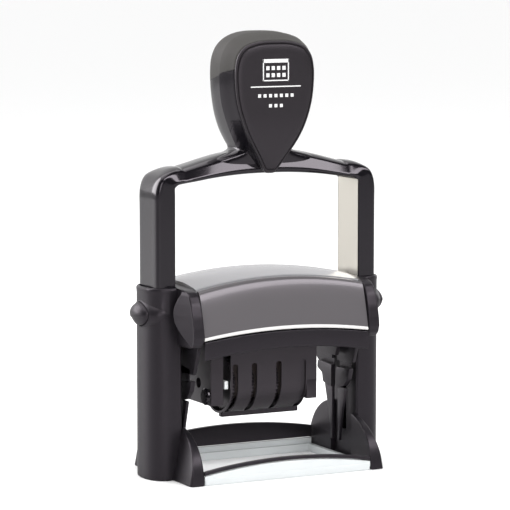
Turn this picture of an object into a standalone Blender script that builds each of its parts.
"""Rotary date stamp: a self-inking stamp whose die turns over as the handle is pressed.

Millimetres are used for every named size below and turned into metres as each mesh is made.
The frame: +Z is up, the front is -Y, X runs across the stamp, and the origin is on the table
under the middle of the base.
"""
import bmesh
import bpy
from math import cos, pi, sin
from mathutils import Matrix, Vector

MM = 0.001
GAP = 0.3                     # clearance between pieces that touch

# --- driving sizes -------------------------------------------------------------------------
WINDOW_HALF_X = 31.0          # the fins' inner faces
FIN_OUTER_X = 36.0
FIN_LEAN = 0.19               # how much the fin's outer face leans in for each mm of height

COLUMN_INNER_X = 32.6         # the column's flat side
COLUMN_OUTER_X = 43.2
COLUMN_HALF_Y = 9.0
COLUMN_TOP_Z = 63.5
COLUMN_FLOOR = 3.0            # the springs stand on it
BORE_X = (33.7, 41.3)
COLUMN_SQUARE = 0.8           # 1 makes a round D in plan, and less a squarer one
LEG_SQUARE = 0.4

LEG_INNER_X = 34.8            # the leg's plastic; the steel strip lies on its inner face
LEG_OUTER_X = 40.9
LEG_HALF_Y = 7.4
LEG_FOOT_Z = 38.0
STRIP_INNER_X = 34.0
STRIP_THICK = 0.5
STRIP_TOP_Z = 96.2

STROKE = 30.0
AXIS_Z = 42.3                 # the rotor's axle, at rest
PIN_RADIUS = 1.5
AXLE_SLOT = (AXIS_Z - STROKE - 1.8, AXIS_Z + 1.8)     # the pins' way down, and its half width
AXLE_SLOT_HALF_Y = 1.8
SPRING_X = 37.3
SPRING_CHANNEL_HALF_Y = 2.9
SPRING_TOP_Z = 79.7

HOUSING_HALF_X = 30.2
PANEL_DROP = 3.2              # how far the arched panels fall from the middle to their ends

SIDE_WALL_X = (29.0, 30.3)
SKIRT_Y = (20.1, 21.3)

WHEEL_Z = AXIS_Z - 12.0       # the date wheels' axle
WHEEL_RADIUS = 9.4
WHEEL_TEETH = 30
FLANGE_THICK = 1.4
FLANGE_X = (-13.9, -6.9, 2.2, 11.4)
DRUM_END_X = (-7.9, 1.2, 10.4, 15.4)
DRUM_RADIUS = 5.3
WHEEL_BORE = 1.8
COVER_X = (-15.6, 16.4)
COVER_RADIUS = 10.6
COVER_WALL = 0.7
LAST_RIB_Z = 24.0             # the cover's right end is square and stops at this height

DIE_FACE = 12.0               # the die's printing face, measured from the rotor's axle
PLATE_HALF = (27.8, 16.0)

BUTTON_Z = 54.6
BUTTON_RADIUS = 4.0

KNOB_SEAM_Z = 131.6           # the seam's height at the middle of the knob
KNOB_SEAM_TILT = -13.0        # degrees: it falls towards the back
LABEL_Y = -11.0
KNOB_SECTIONS = [             # height, half width, front, back
    (107.3, 9.0, -7.2, 7.6), (110.0, 9.8, -8.8, 10.0), (114.0, 11.4, -9.8, 13.0),
    (120.0, 13.2, -10.5, 15.0), (127.0, 14.5, -10.7, 15.4), (133.0, 14.8, -10.7, 15.2),
    (138.0, 14.4, -10.4, 14.4), (141.6, 12.8, -9.6, 12.6), (144.4, 9.9, -7.6, 9.6),
    (145.9, 6.4, -5.0, 6.2), (146.4, 2.8, -2.2, 2.8)]

LEFT, RIGHT = -1, 1
SIDE_NAMES = {LEFT: "left", RIGHT: "right"}

# --- finishes: colour, roughness, metallic --------------------------------------------------
FINISHES = {
    "satin_black": ((0.030, 0.029, 0.032), 0.42, 0.0),
    "gloss_black": ((0.018, 0.017, 0.020), 0.16, 0.0),
    "panel_grey": ((0.17, 0.16, 0.16), 0.24, 0.0),
    "cover_grey": ((0.48, 0.48, 0.49), 0.26, 0.0),
    "brushed_steel": ((0.72, 0.70, 0.66), 0.34, 1.0),
    "spring_steel": ((0.55, 0.55, 0.56), 0.30, 1.0),
    "clear_plastic": ((0.88, 0.91, 0.93), 0.08, 0.0),
    "soft_cap": ((0.060, 0.062, 0.056), 0.68, 0.0),
    "label_black": ((0.028, 0.027, 0.030), 0.36, 0.0),
    "mechanism_black": ((0.036, 0.033, 0.036), 0.38, 0.0),
    "white_plastic": ((0.80, 0.82, 0.82), 0.40, 0.0),
    "die_rubber": ((0.55, 0.10, 0.08), 0.62, 0.0),
    "band_rubber": ((0.16, 0.13, 0.12), 0.70, 0.0),
    "ink_felt": ((0.035, 0.045, 0.14), 0.95, 0.0),
}

for leftover in list(bpy.data.objects):
    bpy.data.objects.remove(leftover, do_unlink=True)

PARTS = bpy.data.collections.new("rotary_date_stamp")
CUTTERS = bpy.data.collections.new("cutters")
bpy.context.scene.collection.children.link(PARTS)
bpy.context.scene.collection.children.link(CUTTERS)


def make_finish(name):
    """A Principled material with the finish's colour, roughness and metallic value."""
    colour, roughness, metallic = FINISHES[name]
    material = bpy.data.materials.new(name)
    material.use_nodes = True
    shader = material.node_tree.nodes["Principled BSDF"]
    shader.inputs["Base Color"].default_value = (*colour, 1.0)
    shader.inputs["Roughness"].default_value = roughness
    shader.inputs["Metallic"].default_value = metallic
    return material


MATERIALS = {name: make_finish(name) for name in FINISHES}


# --- solids ---------------------------------------------------------------------------------
def from_bmesh(name, bm, matrix=None):
    """Put a bmesh, drawn in millimetres, into a new object of the cutters' collection."""
    bmesh.ops.recalc_face_normals(bm, faces=bm.faces)
    if matrix is not None:
        bmesh.ops.transform(bm, matrix=matrix, verts=bm.verts)
    bmesh.ops.scale(bm, vec=(MM, MM, MM), verts=bm.verts)
    mesh = bpy.data.meshes.new(name)
    bm.to_mesh(mesh)
    bm.free()
    obj = bpy.data.objects.new(name, mesh)
    CUTTERS.objects.link(obj)
    obj.hide_render = True
    obj.display_type = "WIRE"
    return obj


def box(name, low, high):
    """A box between two corners."""
    bm = bmesh.new()
    bmesh.ops.create_cube(bm, size=1.0)
    size = [b - a for a, b in zip(low, high)]
    middle = [(a + b) / 2 for a, b in zip(low, high)]
    bmesh.ops.scale(bm, vec=size, verts=bm.verts)
    bmesh.ops.translate(bm, vec=middle, verts=bm.verts)
    return from_bmesh(name, bm)


def rod(name, axis, start, length, radius, segments=24):
    """A cylinder along +X, +Y or +Z from the middle of its first end."""
    bm = bmesh.new()
    bmesh.ops.create_cone(bm, cap_ends=True, segments=segments, radius1=radius,
                          radius2=radius, depth=length)
    direction = Vector([float(axis == letter) for letter in "XYZ"])
    turn = Vector((0, 0, 1)).rotation_difference(direction).to_matrix().to_4x4()
    centre = Vector(start) + direction * length / 2
    return from_bmesh(name, bm, Matrix.Translation(centre) @ turn)


PLANES = {                    # an outline's two axes and its thickness, as the part's axes
    "X": Matrix(((0, 0, 1, 0), (1, 0, 0, 0), (0, 1, 0, 0), (0, 0, 0, 1))),
    "Y": Matrix(((1, 0, 0, 0), (0, 0, -1, 0), (0, 1, 0, 0), (0, 0, 0, 1))),
    "Z": Matrix.Identity(4),
}


def plate(name, outlines, axis, low, high):
    """A flat outline with a thickness: (y, z) points along X, (x, z) along Y, (x, y) along Z.

    A second outline inside the first is a hole.
    """
    curve = bpy.data.curves.new(name, "CURVE")
    curve.dimensions = "2D"
    curve.fill_mode = "BOTH"
    curve.extrude = (high - low) / 2
    for points in outlines:
        spline = curve.splines.new("POLY")
        spline.points.add(len(points) - 1)
        for point, (u, v) in zip(spline.points, points):
            point.co = (u, v, 0, 1)
        spline.use_cyclic_u = True
    outline = bpy.data.objects.new(name, curve)
    CUTTERS.objects.link(outline)
    mesh = bpy.data.meshes.new_from_object(outline.evaluated_get(bpy.context.evaluated_depsgraph_get()))
    bm = bmesh.new()
    bm.from_mesh(mesh)
    bmesh.ops.remove_doubles(bm, verts=bm.verts, dist=0.001)
    bpy.data.objects.remove(outline, do_unlink=True)
    bpy.data.curves.remove(curve)
    bpy.data.meshes.remove(mesh)
    middle = (low + high) / 2
    shift = Vector([middle * (axis == letter) for letter in "XYZ"])
    return from_bmesh(name, bm, Matrix.Translation(shift) @ PLANES[axis])


def loft(name, rings):
    """A closed solid through rings of points, which all have the same count."""
    bm = bmesh.new()
    loops = [[bm.verts.new(point) for point in ring] for ring in rings]
    count = len(loops[0])
    for below, above in zip(loops, loops[1:]):
        for i in range(count):
            j = (i + 1) % count
            bm.faces.new((below[i], below[j], above[j], above[i]))
    bm.faces.new(list(reversed(loops[0])))
    bm.faces.new(loops[-1])
    return from_bmesh(name, bm)


def sheet(name, surface, count_u, count_v, thickness):
    """An open grid of surface(u, v), u and v from 0 to 1, with a Solidify to its back."""
    bm = bmesh.new()
    grid = [[bm.verts.new(surface(u / count_u, v / count_v)) for v in range(count_v + 1)]
            for u in range(count_u + 1)]
    for u in range(count_u):
        for v in range(count_v):
            bm.faces.new((grid[u][v], grid[u + 1][v], grid[u + 1][v + 1], grid[u][v + 1]))
    bmesh.ops.scale(bm, vec=(MM, MM, MM), verts=bm.verts)
    mesh = bpy.data.meshes.new(name)
    bm.to_mesh(mesh)
    bm.free()
    obj = bpy.data.objects.new(name, mesh)
    CUTTERS.objects.link(obj)
    shell = obj.modifiers.new("thickness", "SOLIDIFY")
    shell.thickness = thickness * MM
    shell.offset = -1.0
    return obj


def helix(name, centre, low, high, radius, wire, turns, points_a_turn=9):
    """A coil spring's wire round a vertical line."""
    curve = bpy.data.curves.new(name, "CURVE")
    curve.dimensions = "3D"
    curve.bevel_depth = wire * MM
    curve.bevel_resolution = 1
    curve.use_fill_caps = True
    spline = curve.splines.new("POLY")
    count = turns * points_a_turn
    spline.points.add(count)
    for i, point in enumerate(spline.points):
        angle = 2 * pi * i / points_a_turn
        height = low + wire + (high - low - 2 * wire) * i / count
        place = (centre[0] + radius * cos(angle), centre[1] + radius * sin(angle), height)
        point.co = (place[0] * MM, place[1] * MM, place[2] * MM, 1)
    obj = bpy.data.objects.new(name, curve)
    CUTTERS.objects.link(obj)
    return obj


# --- work on solids ---------------------------------------------------------------------------
def boolean(obj, tool, operation, solver="EXACT"):
    """Add a Boolean to obj; the tool stays in the cutters' collection."""
    tool.hide_render = True
    tool.display_type = "WIRE"
    step = obj.modifiers.new(tool.name, "BOOLEAN")
    step.object = tool
    step.operation = operation
    step.solver = solver


def cut(obj, *tools):
    """Take the tools away from obj."""
    for tool in tools:
        boolean(obj, tool, "DIFFERENCE")


def join(obj, *tools):
    """Join the tools to obj."""
    for tool in tools:
        boolean(obj, tool, "UNION")


def soften(obj, width, segments=1, angle=35):
    """Round the edges that turn by more than the angle, in degrees."""
    bevel = obj.modifiers.new("soft edges", "BEVEL")
    bevel.width = width * MM
    bevel.segments = segments
    bevel.limit_method = "ANGLE"
    bevel.angle_limit = angle * pi / 180


def keep(obj, name, finish, origin=None, smooth=False):
    """Make obj a part: its name, finish, collection, and its origin on its joint's axis."""
    obj.name = name
    obj.data.name = name
    obj.data.materials.append(MATERIALS[finish])
    obj.hide_render = False
    obj.display_type = "TEXTURED"
    CUTTERS.objects.unlink(obj)
    PARTS.objects.link(obj)
    if origin is not None:
        shift = Vector(origin) * MM
        obj.data.transform(Matrix.Translation(-shift))
        obj.location = shift
    if smooth:
        obj.data.shade_smooth()
        obj.data.set_sharp_from_angle(angle=40 * pi / 180)
    return obj


# --- outlines ---------------------------------------------------------------------------------
def arc(centre, radius, start, end, count):
    """Points on a circle between two angles in degrees."""
    angles = [(start + (end - start) * i / count) * pi / 180 for i in range(count + 1)]
    return [(centre[0] + radius * cos(a), centre[1] + radius * sin(a)) for a in angles]


def d_outline(side, inner, shoulder, outer, half_depth, square, count=14):
    """A D in plan: flat towards the middle of the stamp, round towards the outside.

    Its round end is a superellipse: x grows with cos(a)^square and y with sin(a)^square.
    """
    round_end = []
    for i in range(count + 1):
        a = -pi / 2 + pi * i / count
        x = shoulder + (outer - shoulder) * max(0.0, cos(a)) ** square
        y = half_depth * abs(sin(a)) ** square * (1 if a > 0 else -1)
        round_end.append((side * x, y))
    points = [(side * inner, -half_depth)] + round_end + [(side * inner, half_depth)]
    return points if side > 0 else points[::-1]


def mirrored(half):
    """An outline from its half with u >= 0, listed from the bottom to the top."""
    return half + [(-u, v) for u, v in reversed(half) if u > 0.001]


def arch(x, middle, drop, half=HOUSING_HALF_X):
    """The height of an arched edge at x."""
    return middle - drop * (x / half) ** 2


def arched_strip(name, low_middle, low_drop, high_middle, high_drop, half, y_low, y_high):
    """A strip along X between two arched edges."""
    count = 12
    xs = [half - 2 * half * i / count for i in range(count + 1)]
    lower = [(x, arch(x, low_middle, low_drop, half)) for x in xs]
    upper = [(x, arch(x, high_middle, high_drop, half)) for x in reversed(xs)]
    return plate(name, [lower + upper], "Y", y_low, y_high)


# --- base: columns, fins, pods -----------------------------------------------------------------
def fins(side):
    """The two arched feet that run out to the front and the back, with a leaning outer face."""
    front = [(-22.0, 0), (-21.9, 2.0), (-20.2, 7.8), (-17.6, 11.8), (-14.2, 15.0), (-10.2, 17.0), (-6.0, 17.8)]
    rear = [(6.0, 19.3), (10.3, 19.1), (13.4, 17.8), (16.5, 15.2), (19.9, 9.4), (21.9, 2.5), (22.0, 0)]
    low, high = sorted((side * WINDOW_HALF_X, side * FIN_OUTER_X))
    solid = plate("fins", [front + rear], "X", low, high)
    middle = (WINDOW_HALF_X + FIN_OUTER_X) / 2 * MM
    for vertex in solid.data.vertices:
        if abs(vertex.co.x) > middle:
            vertex.co.x -= side * FIN_LEAN * vertex.co.z
    soften(solid, 0.7)
    x_low, x_high = sorted((side * 30.0, side * (COLUMN_INNER_X + GAP)))
    cut(solid, box("gap between the feet", (x_low, -8.0, COLUMN_FLOOR), (x_high, 6.0, 30.0)))
    return solid


def pod(side):
    """The end of the pad housing, which flanks the grey panels."""
    half = [(9.0, 44.4), (19.0, 44.8), (21.4, 47.6), (21.3, 51.0), (20.4, 55.0), (19.0, 59.0),
            (17.2, 62.0), (14.0, 63.2), (0.0, 64.0)]
    low, high = sorted((side * 30.6, side * 34.6))
    solid = plate("pod", [mirrored(half)], "X", low, high)
    soften(solid, 0.6)
    return solid


def swelling(name, centre, radii):
    """An ellipsoid that swells out of a column."""
    bm = bmesh.new()
    bmesh.ops.create_uvsphere(bm, u_segments=18, v_segments=12, radius=1.0)
    bmesh.ops.scale(bm, vec=radii, verts=bm.verts)
    bmesh.ops.translate(bm, vec=centre, verts=bm.verts)
    return from_bmesh(name, bm)


def axle_slot(x_low, x_high):
    """The upright slot in which an axle pin goes down and up."""
    return box("slot", (x_low, -AXLE_SLOT_HALF_Y, AXLE_SLOT[0]), (x_high, AXLE_SLOT_HALF_Y, AXLE_SLOT[1]))


def column(side):
    """One moulding: the hollow column with its feet, its end of the pad housing and its boss."""
    plan = d_outline(side, COLUMN_INNER_X, 35.6, COLUMN_OUTER_X, COLUMN_HALF_Y, COLUMN_SQUARE)
    solid = plate("column", [plan], "Z", 0, COLUMN_TOP_Z)
    soften(solid, 0.7, 1, 60)
    boss = swelling("boss", (side * 40.6, 0, BUTTON_Z), (5.2, 8.2, 5.8))
    cheeks = [swelling("cheek", (side * 33.45, y, 54.3), (3.8, 7.1, 8.7)) for y in (-13.3, 13.3)]
    join(solid, fins(side), pod(side), boss, *cheeks)
    bore = d_outline(side, BORE_X[0], 36.5, BORE_X[1], LEG_HALF_Y + 0.4, LEG_SQUARE)
    cavity = plate("cavity", [bore], "Z", COLUMN_FLOOR, 90)
    slot = axle_slot(*sorted((side * 30.0, side * 34.5)))
    pocket_start = 41.7 if side > 0 else -48.0
    pocket = rod("pocket", "X", (pocket_start, 0, BUTTON_Z), 6.3, BUTTON_RADIUS + GAP)
    inside = box("housing space", (-30.5, -40, 30), (30.5, 40, 80))
    cut(solid, cavity, slot, pocket, inside)
    keep(solid, f"column_{SIDE_NAMES[side]}", "satin_black")


def side_wall(side):
    """The wall that guides the rotor's axle and carries the cartridge's rail."""
    low, high = sorted((side * SIDE_WALL_X[0], side * SIDE_WALL_X[1]))
    half = [(2.8, 7.0), (3.4, 11.0), (5.0, 18.0), (7.4, 25.0), (9.8, 29.0), (11.4, 33.4), (12.6, 36.2),
            (15.6, 43.0), (16.4, 47.4), (16.2, 54.0), (14.4, 59.4), (4.0, 60.4)]
    solid = plate("wall", [mirrored(half)], "X", low, high)
    slot = axle_slot(low - 1, high + 1)
    rail_x = sorted((side * 28.2, side * 29.2))
    rail = box("rail", (rail_x[0], -15.8, 54.9), (rail_x[1], 15.8, 56.3))
    join(solid, rail)
    cut(solid, slot)
    keep(solid, f"side_wall_{SIDE_NAMES[side]}", "satin_black")


def base_window():
    """The clear frame that stands on the paper, and the two black rails on it."""
    outside = [(-30.7, -22.0), (30.7, -22.0), (30.7, 22.0), (-30.7, 22.0)]
    inside = [(-28.7, -19.3), (28.7, -19.3), (28.7, 18.2), (-28.7, 18.2)]
    frame = plate("frame", [outside, inside], "Z", 0.0, 2.6)
    front = arched_strip("front wall", 1.0, 0.0, 5.7, 2.7, 30.6, -21.9, -20.2)
    back = arched_strip("back wall", 1.0, 0.0, 4.5, 0.0, 30.6, 19.4, 21.9)
    join(frame, front, back)
    keep(frame, "clear_base_frame", "clear_plastic")

    front_rail = arched_strip("front rail", 6.0, 2.7, 7.2, 2.7, 30.7, -22.0, -20.2)
    keep(front_rail, "front_rail", "satin_black")
    rear_rail = arched_strip("rear rail", 4.8, 0.0, 11.6, 2.8, 30.7, 19.4, 21.4)
    keep(rear_rail, "rear_rail", "satin_black")


# --- pad housing and cartridge -------------------------------------------------------------------
PANEL_PROFILE = [(-14.9, 66.1), (-15.8, 66.0), (-16.6, 65.6), (-17.3, 64.6), (-18.6, 61.0),
                 (-19.8, 56.5), (-20.6, 53.0), (-21.0, 50.6), (-21.2, 49.4)]


def panel_surface(face):
    """The outer surface of an arched panel: its profile, lowered towards both ends."""
    def surface(u, v):
        x = HOUSING_HALF_X * (2 * u - 1)
        place = v * (len(PANEL_PROFILE) - 1)
        i = min(int(place), len(PANEL_PROFILE) - 2)
        t = place - i
        y = PANEL_PROFILE[i][0] * (1 - t) + PANEL_PROFILE[i + 1][0] * t
        z = PANEL_PROFILE[i][1] * (1 - t) + PANEL_PROFILE[i + 1][1] * t
        drop = PANEL_DROP if z > 60 else PANEL_DROP - 0.09 * (60 - z)
        return (x, face * -y, z - drop * (x / HOUSING_HALF_X) ** 2)
    return surface


def cover_surface(u, v):
    """The lid's outer surface, crowned both ways."""
    x = HOUSING_HALF_X * (2 * u - 1)
    y = 14.5 * (1 - 2 * v)
    return (x, -y, 68.0 - 1.5 * (y / 14.5) ** 2 - PANEL_DROP * (x / HOUSING_HALF_X) ** 2)


def housing():
    """The lid, the two panels, the skirts under them, and the ink cartridge behind the front."""
    lid = sheet("lid", cover_surface, 12, 6, 1.3)
    keep(lid, "top_cover", "cover_grey", smooth=True)
    count = len(PANEL_PROFILE) - 1
    front = sheet("front panel", lambda u, v: panel_surface(LEFT)(1 - u, v), 12, count, 1.4)
    keep(front, "cartridge_panel", "panel_grey", smooth=True)
    back = sheet("back panel", panel_surface(RIGHT), 12, count, 1.4)
    keep(back, "rear_panel", "panel_grey", smooth=True)

    for name, face in (("skirt_front", -1), ("skirt_rear", 1)):
        y_low, y_high = sorted((face * SKIRT_Y[0], face * SKIRT_Y[1]))
        skirt = arched_strip(name, 43.6, 2.6, 48.8, 2.2, HOUSING_HALF_X, y_low, y_high)
        keep(skirt, name, "satin_black")

    tray = box("tray", (-28.7, -15.9, 56.7), (28.7, 15.9, 60.2))
    recess = box("recess", (-27.6, -15.5, 50.0), (27.6, 15.5, 59.3))
    cut(tray, recess)
    keep(tray, "cartridge_tray", "satin_black")
    felt = box("felt", (-27.3, -15.2, 56.9), (27.3, 15.2, 59.0))
    soften(felt, 0.4)
    keep(felt, "felt_pad", "ink_felt")


# --- handle ------------------------------------------------------------------------------------
def bow():
    """The bow and its two legs, with a channel in each leg for the return spring."""
    spare = LEG_OUTER_X + 0.4
    outer = [(spare, LEG_FOOT_Z), (spare, 94.6), (40.3, 97.6), (38.9, 99.8), (36.4, 101.4),
             (32.4, 102.5), (25.4, 103.7), (20.0, 105.0), (14.4, 106.1), (9.0, 106.8), (0.0, 107.0)]
    inner = [(LEG_INNER_X, LEG_FOOT_Z), (LEG_INNER_X, 96.4), (33.2, 96.6), (25.5, 97.7),
             (15.0, 99.1), (7.0, 99.6), (0.0, 99.7)]
    over = outer + [(-x, z) for x, z in reversed(outer) if x > 0]
    under = [(-x, z) for x, z in inner] + [(x, z) for x, z in reversed(inner) if x > 0]
    solid = plate("bow", [over + under], "Y", -LEG_HALF_Y, LEG_HALF_Y)
    plan = (0.0, 36.6, LEG_OUTER_X, LEG_HALF_Y + 0.1, LEG_SQUARE)
    ends = d_outline(RIGHT, *plan)[1:-1] + d_outline(LEFT, *plan)[1:-1]
    boolean(solid, plate("rounded ends", [ends], "Z", 30, 112), "INTERSECT")
    soften(solid, 1.2, 1, 60)
    for side in (LEFT, RIGHT):
        x_low, x_high = sorted((side * 34.0, side * 39.9))
        cut(solid, box("channel", (x_low, -SPRING_CHANNEL_HALF_Y, 30.0), (x_high, SPRING_CHANNEL_HALF_Y, 80.0)))
    keep(solid, "handle_bow", "gloss_black")


def leg_fittings(side):
    """The steel strip on a leg, the axle pin at its foot, and the return spring in its channel."""
    name = SIDE_NAMES[side]
    x_low, x_high = sorted((side * STRIP_INNER_X, side * (STRIP_INNER_X + STRIP_THICK)))
    strip = box("strip", (x_low, -6.8, LEG_FOOT_Z), (x_high, 6.8, STRIP_TOP_Z))
    keep(strip, f"side_strip_{name}", "brushed_steel")
    start = 26.0 if side > 0 else -33.7
    pin = rod("pin", "X", (start, 0, AXIS_Z), 7.7, PIN_RADIUS, 20)
    keep(pin, f"axle_pin_{name}", "brushed_steel", smooth=True)
    coil = helix("coil", (side * SPRING_X, 0.0), COLUMN_FLOOR + GAP, SPRING_TOP_Z, 2.0, 0.35, 11)
    keep(coil, f"return_spring_{name}", "spring_steel")


def drop_outline(widen):
    """The label's drop shape in (x, z): round at the top, coming to a blunt tip below."""
    half = [(1.8, 100.2), (4.6, 104.2), (9.0, 111.4), (11.8, 117.6), (13.8, 125.6), (14.4, 131.0),
            (13.9, 137.0), (11.4, 140.8), (7.0, 142.7), (0.0, 143.2)]
    centre = 128.0
    grown = [(x + widen * min(x, 3.0) / 3.0, z + widen * (z - centre) / 15.0) for x, z in half]
    return mirrored(grown)


def knob_ring(z, half_x, y_front, y_back):
    """One section of the knob: nearly flat in front, a squarish round behind."""
    ring = []
    for i in range(24):
        a = 2 * pi * i / 24
        depth, power = (-y_front, 0.55) if sin(a) < 0 else (y_back, 0.72)
        y = (abs(sin(a)) ** power) * depth * (1 if sin(a) >= 0 else -1)
        ring.append((half_x * (abs(cos(a)) ** 0.78) * (1 if cos(a) >= 0 else -1), y, z))
    return ring


def knob_half(name, spare_low, spare_high):
    """The knob with its label backing, less what lies between two heights above the seam plane."""
    solid = loft(name, [knob_ring(*section) for section in KNOB_SECTIONS])
    join(solid, plate("label backing", [drop_outline(0.7)], "Y", LABEL_Y, -7.8))
    spare = box("other side of the seam", (-30, -30, spare_low), (30, 30, spare_high))
    tilt = Matrix.Rotation(KNOB_SEAM_TILT * pi / 180, 4, "X")
    spare.matrix_world = Matrix.Translation((0, 0, KNOB_SEAM_Z * MM)) @ tilt
    boolean(solid, spare, "DIFFERENCE", "MANIFOLD")
    return solid


def knob():
    """The drop-shaped grip: dark core, soft cap over its top, and the label plate in front."""
    keep(knob_half("core", 0, 60), "knob_core", "gloss_black", smooth=True)
    keep(knob_half("cap", -60, GAP), "knob_cap", "soft_cap", smooth=True)
    label = plate("label", [drop_outline(-0.2)], "Y", LABEL_Y - GAP - 1.2, LABEL_Y - GAP)
    soften(label, 0.4)
    keep(label, "label_plate", "label_black")


# --- rotor ---------------------------------------------------------------------------------------
def rotor_frame():
    """The carrier that turns over: two end plates, the cross plate and the bridge beam."""
    axle = (0, 0, AXIS_Z)
    half = [(5.0, AXIS_Z - 5.5), (9.0, AXIS_Z + 3.0), (12.0, AXIS_Z + 8.7)]
    solid = box("cross plate", (-27.8, -15.5, AXIS_Z + 7.2), (27.8, 15.5, AXIS_Z + 8.7))
    for side in (LEFT, RIGHT):
        x_low, x_high = sorted((side * 26.4, side * 27.8))
        end = plate("end plate", [mirrored(half)], "X", x_low, x_high)
        hole = rod("axle hole", "X", (x_low - 1, 0, AXIS_Z), 4, PIN_RADIUS + GAP, 20)
        cut(end, hole)
        join(solid, end)
    window = box("band window", (-16.6, -4.8, AXIS_Z + 5), (17.6, 4.8, AXIS_Z + 12))
    cut(solid, window)
    keep(solid, "rotor_frame", "mechanism_black", origin=axle)


def date_cover():
    """The ribbed cover: a U with four slots, a flange below it and a square last rib."""
    top = AXIS_Z + 3.0
    inner = COVER_RADIUS - COVER_WALL
    shell = [(COVER_RADIUS, top)] + arc((0, WHEEL_Z), COVER_RADIUS, 0, -180, 18) + [(-COVER_RADIUS, top)]
    hollow = [(-inner, top)] + arc((0, WHEEL_Z), inner, -180, 0, 18) + [(inner, top)]
    cover = plate("cover", [shell + hollow], "X", *COVER_X)
    rib_start = FLANGE_X[-1] + 1.3
    cut(cover, box("below last rib", (rib_start, -12, 0), (20, 12, LAST_RIB_Z)))
    for side in (-1, 1):
        y_low, y_high = sorted((side * 6.8, side * COVER_RADIUS))
        join(cover, box("last rib", (rib_start, y_low, LAST_RIB_Z), (COVER_X[1], y_high, WHEEL_Z)))
    join(cover, box("flange", (-14.4, -1.0, AXIS_Z - 24.1), (14.4, 1.0, AXIS_Z - 22.1)))
    for x in FLANGE_X:
        cut(cover, box("wheel slot", (x - 1.0, -12.0, WHEEL_Z - 9.0), (x + 1.0, 12.0, WHEEL_Z + 6.8)))
    keep(cover, "date_cover", "mechanism_black", origin=(0, 0, AXIS_Z))


def date_fittings():
    """The end blocks that hold the wheels' axle, the small knob, and the white axle with its clip."""
    axle = (0, 0, AXIS_Z)
    blocks = {"left": (-22.3, -17.6, 9.2, 23.6), "right": (16.7, 17.4, 8.2, LAST_RIB_Z)}
    for name, (x_low, x_high, half_y, z_low) in blocks.items():
        block = box("end block", (x_low, -half_y, z_low), (x_high, half_y, AXIS_Z + 2.4))
        soften(block, 0.2)
        cut(block, rod("socket", "X", (x_low - 1, 0, WHEEL_Z), x_high - x_low + 2, WHEEL_BORE, 16))
        keep(block, f"end_block_{name}", "mechanism_black", origin=axle)

    knob_disc = rod("disc", "X", (-23.9, -7.2, 26.7), 1.3, 2.85, 20)
    soften(knob_disc, 0.4)
    keep(knob_disc, "date_knob", "gloss_black", origin=axle)
    white = rod("axle", "X", (-20.0, 0, WHEEL_Z), 37.3, 1.5, 16)
    join(white, box("clip", (-17.2, -9.2, WHEEL_Z - 1.3), (-16.0, 0, WHEEL_Z + 1.3)))
    keep(white, "wheel_axle", "white_plastic", origin=axle, smooth=True)


def band_bridge():
    """The beam between the end plates, and the nose that the bands turn over under the die."""
    beam = box("bridge beam", (-25.6, -2.2, AXIS_Z + 2.8), (25.6, 2.2, AXIS_Z + 5.6))
    nose = box("bridge nose", (-13.0, -1.6, AXIS_Z + 5.0), (15.4, 1.6, AXIS_Z + 11.1))
    join(beam, nose)
    keep(beam, "band_bridge", "mechanism_black", origin=(0, 0, AXIS_Z))


def text_plate():
    """The plate clipped on the carrier, and the rubber die with its window for the date."""
    axle = (0, 0, AXIS_Z)
    half_x, half_y = PLATE_HALF
    backing = box("plate", (-half_x, -half_y, AXIS_Z + 9.0), (half_x, half_y, AXIS_Z + 10.2))
    cut(backing, box("plate window", (-16.0, -3.9, 40), (17.0, 3.9, 60)))
    keep(backing, "text_plate", "mechanism_black", origin=axle)
    corner = (half_x - 0.5, half_y - 0.3)
    die = box("die", (-corner[0], -corner[1], AXIS_Z + 10.5), (corner[0], corner[1], AXIS_Z + DIE_FACE))
    cut(die, box("die window", (-15.6, -3.5, 40), (16.9, 3.5, 60)))
    keep(die, "text_die", "die_rubber", origin=axle)


def band_outline(grow):
    """A band's loop: round the wheel's drum below and over the bridge's nose above."""
    drum = arc((0, WHEEL_Z), DRUM_RADIUS + GAP + grow, -8, -172, 14)
    nose_y, nose_z = 2.5 + grow, AXIS_Z + 11.4 + grow
    top = [(-nose_y, nose_z - 0.9), (-nose_y + 0.8, nose_z), (nose_y - 0.8, nose_z), (nose_y, nose_z - 0.9)]
    return drum + top


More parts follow.
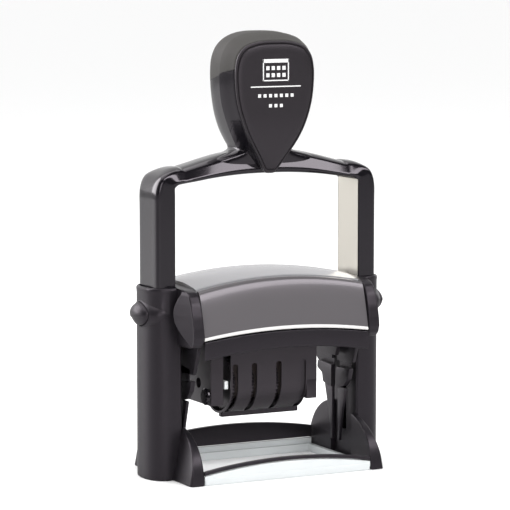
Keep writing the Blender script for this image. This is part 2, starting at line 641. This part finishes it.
def date_wheel(index):
    """A setting wheel: a toothed flange and the drum that drives its band."""
    x, drum_end = FLANGE_X[index], DRUM_END_X[index]
    rim = []
    for i in range(WHEEL_TEETH * 2):
        a = pi * i / WHEEL_TEETH
        radius = WHEEL_RADIUS - 0.5 * (i % 2)
        rim.append((radius * cos(a), WHEEL_Z + radius * sin(a)))
    bore = arc((0, WHEEL_Z), WHEEL_BORE, 0, 345, 23)
    flange = plate("flange", [rim, bore], "X", x - FLANGE_THICK / 2, x + FLANGE_THICK / 2)
    drum = plate("drum", [arc((0, WHEEL_Z), DRUM_RADIUS, 0, 345, 23), bore], "X", x + 0.2, drum_end)
    join(flange, drum)
    keep(flange, f"date_wheel_{index + 1}", "mechanism_black", origin=(x, 0, WHEEL_Z))

    outline = band_outline(0.6)
    band = plate("band", [outline, band_outline(0.0)], "X", x + FLANGE_THICK / 2 + 0.4, drum_end - 0.1)
    keep(band, f"date_band_{index + 1}", "band_rubber", origin=(0, 0, AXIS_Z))


def lock_button(side):
    """The domed button in a boss."""
    radius, count = BUTTON_RADIUS, 6
    angles = [pi / 2 * i / count for i in range(count + 1)]
    dome = [(radius * sin(a), 0.8 + 1.4 * cos(a)) for a in angles]
    profile = dome + [(radius, 0.0), (0.0, 0.0)]
    bm = bmesh.new()
    vertices = [bm.verts.new((r, 0, z)) for r, z in profile]
    for a, b in zip(vertices, vertices[1:]):
        bm.edges.new((a, b))
    bmesh.ops.scale(bm, vec=(MM, MM, MM), verts=bm.verts)
    mesh = bpy.data.meshes.new("button")
    bm.to_mesh(mesh)
    bm.free()
    obj = bpy.data.objects.new("button", mesh)
    CUTTERS.objects.link(obj)
    turn = obj.modifiers.new("turned", "SCREW")
    turn.steps = 24
    turn.render_steps = 24
    turn.use_merge_vertices = True
    turn.merge_threshold = 0.00001
    keep(obj, f"lock_button_{SIDE_NAMES[side]}", "satin_black")
    obj.location = (side * 43.9 * MM, 0, BUTTON_Z * MM)
    obj.rotation_euler = (0, side * pi / 2, 0)


def build():
    """Make every part of the stamp."""
    for side in (LEFT, RIGHT):
        column(side)
        side_wall(side)
        leg_fittings(side)
        lock_button(side)
    base_window()
    housing()
    bow()
    knob()
    rotor_frame()
    date_cover()
    date_fittings()
    band_bridge()
    text_plate()
    for index in range(len(FLANGE_X)):
        date_wheel(index)


build()
